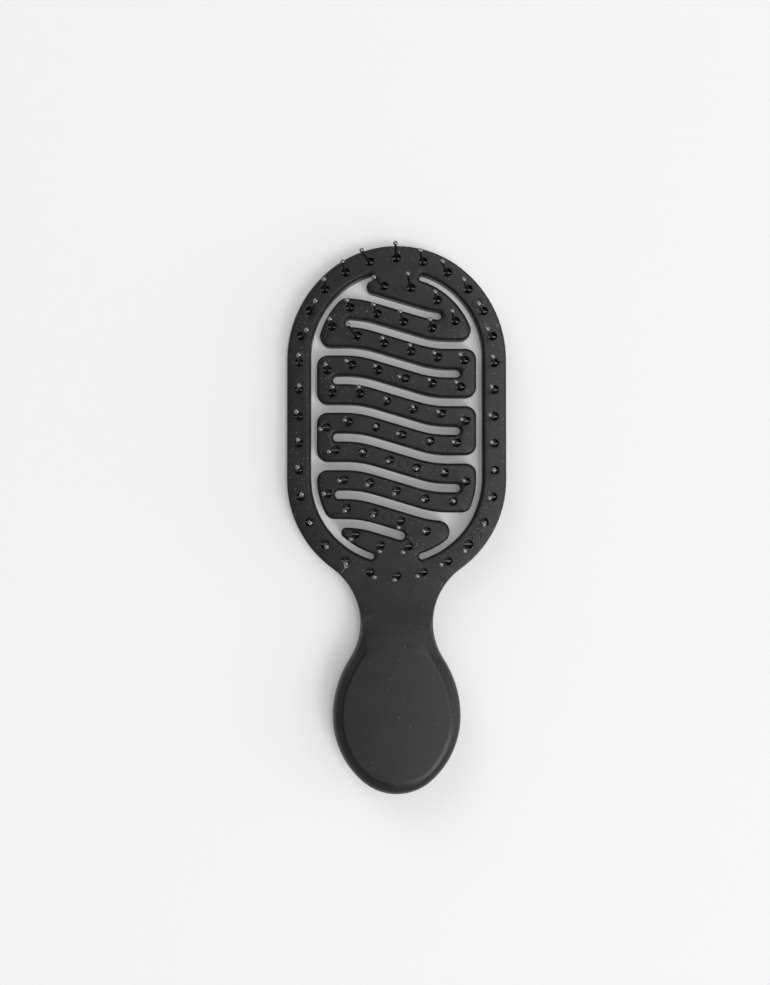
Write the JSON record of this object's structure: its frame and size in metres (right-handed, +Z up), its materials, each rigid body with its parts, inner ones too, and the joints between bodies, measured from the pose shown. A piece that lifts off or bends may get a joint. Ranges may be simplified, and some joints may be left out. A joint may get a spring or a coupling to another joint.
{
  "type": "vented mini styling brush",
  "caption": "Small vented hair brush: round-ended head with a wavy slotted pad, ball-tipped pins, narrow neck and pebble-shaped handle.",
  "frame": {"origin": "middle of the length and width of the brush, on the surface that it lies on", "axes": "+Z up, out of the pin side; +Y along the brush from the handle to the head's tip; +X to the right seen from the pin side with the head up"},
  "size_m": [0.056, 0.14, 0.0198],
  "materials": {
    "body_plastic": "black plastic with a fine matt soft-touch coat",
    "pin_plastic": "glossy black nylon",
    "anchor_metal": "drawn flat wire, bare metal"
  },
  "bodies": {
    "root": {"brush_body": "body_plastic", "rim_pins": "pin_plastic", "pad_pins": "pin_plastic", "rim_anchors": "anchor_metal", "pad_anchors": "anchor_metal"}
  },
  "joints": []
}
